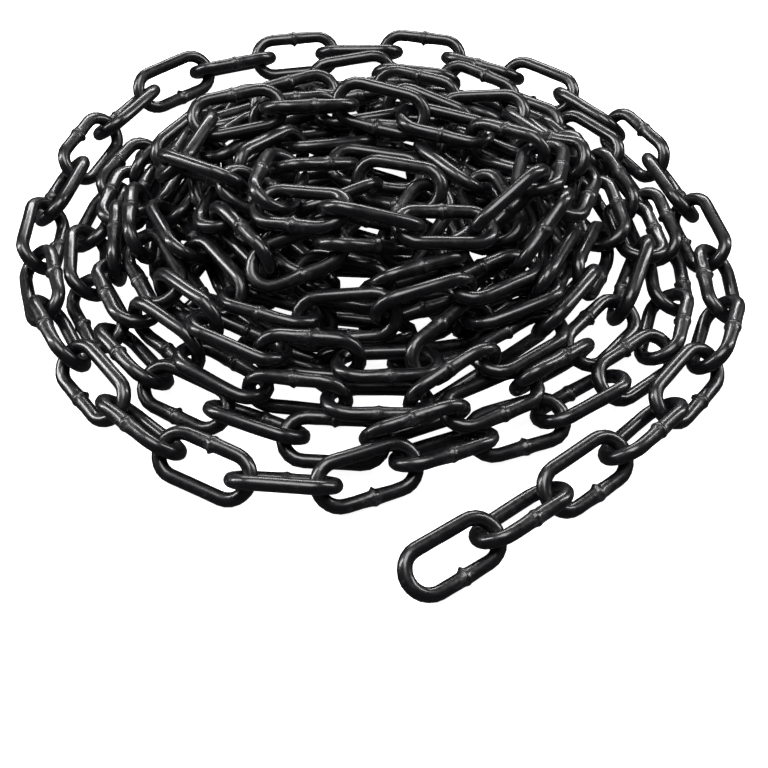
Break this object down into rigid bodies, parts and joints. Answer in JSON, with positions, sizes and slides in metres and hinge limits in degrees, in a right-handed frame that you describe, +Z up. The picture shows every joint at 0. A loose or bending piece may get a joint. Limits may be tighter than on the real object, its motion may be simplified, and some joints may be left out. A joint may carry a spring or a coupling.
{
  "type": "heap of iron chain",
  "caption": "Loosely coiled heap of black lacquered welded steel chain, laid in rising turns on the floor, with a short tail of links running out to a free end link.",
  "frame": {"origin": "on the floor under the heap, at the centre of the outer turn of chain", "axes": "+Z up from the floor; +Y away from the side on which the free end link lies, along the heap's longest extent"},
  "size_m": [0.2687, 0.2968, 0.0588],
  "materials": {
    "lacquered_steel": "thin semi-gloss black lacquer over drawn steel wire",
    "buried_links": "thin semi-gloss black lacquer over drawn steel wire"
  },
  "bodies": {
    "root": {"coil_run_01": "lacquered_steel", "coil_run_02": "lacquered_steel", "coil_run_03": "lacquered_steel", "coil_run_04": "lacquered_steel", "coil_run_05": "lacquered_steel", "coil_run_06": "lacquered_steel", "coil_run_07": "lacquered_steel", "coil_run_08": "lacquered_steel", "coil_run_09": "lacquered_steel", "coil_run_10": "lacquered_steel", "coil_run_11": "lacquered_steel", "coil_run_12": "lacquered_steel", "coil_run_13": "lacquered_steel", "coil_run_14": "lacquered_steel", "coil_run_15": "lacquered_steel", "coil_run_16": "lacquered_steel", "coil_run_17": "lacquered_steel", "coil_run_18": "lacquered_steel", "coil_run_19": "lacquered_steel", "coil_run_20": "lacquered_steel", "coil_run_21": "lacquered_steel", "coil_run_22": "lacquered_steel", "coil_run_23": "lacquered_steel", "coil_run_24": "lacquered_steel", "coil_run_25": "lacquered_steel", "coil_run_26": "lacquered_steel", "end_link": "lacquered_steel", "heap_core": "buried_links", "outer_link_01": "lacquered_steel", "outer_link_02": "lacquered_steel", "outer_link_03": "lacquered_steel", "outer_link_04": "lacquered_steel", "outer_link_05": "lacquered_steel", "outer_link_06": "lacquered_steel", "outer_link_07": "lacquered_steel", "outer_link_08": "lacquered_steel", "outer_link_09": "lacquered_steel", "outer_link_10": "lacquered_steel", "outer_link_11": "lacquered_steel", "outer_link_12": "lacquered_steel", "outer_link_13": "lacquered_steel", "outer_link_14": "lacquered_steel", "outer_link_15": "lacquered_steel", "outer_link_16": "lacquered_steel", "outer_link_17": "lacquered_steel", "outer_link_18": "lacquered_steel", "outer_link_19": "lacquered_steel", "outer_link_20": "lacquered_steel", "outer_link_21": "lacquered_steel", "outer_link_22": "lacquered_steel", "outer_link_23": "lacquered_steel", "tail_link_01": "lacquered_steel", "tail_link_02": "lacquered_steel", "tail_link_03": "lacquered_steel", "tail_link_04": "lacquered_steel", "tail_link_05": "lacquered_steel"}
  },
  "joints": []
}
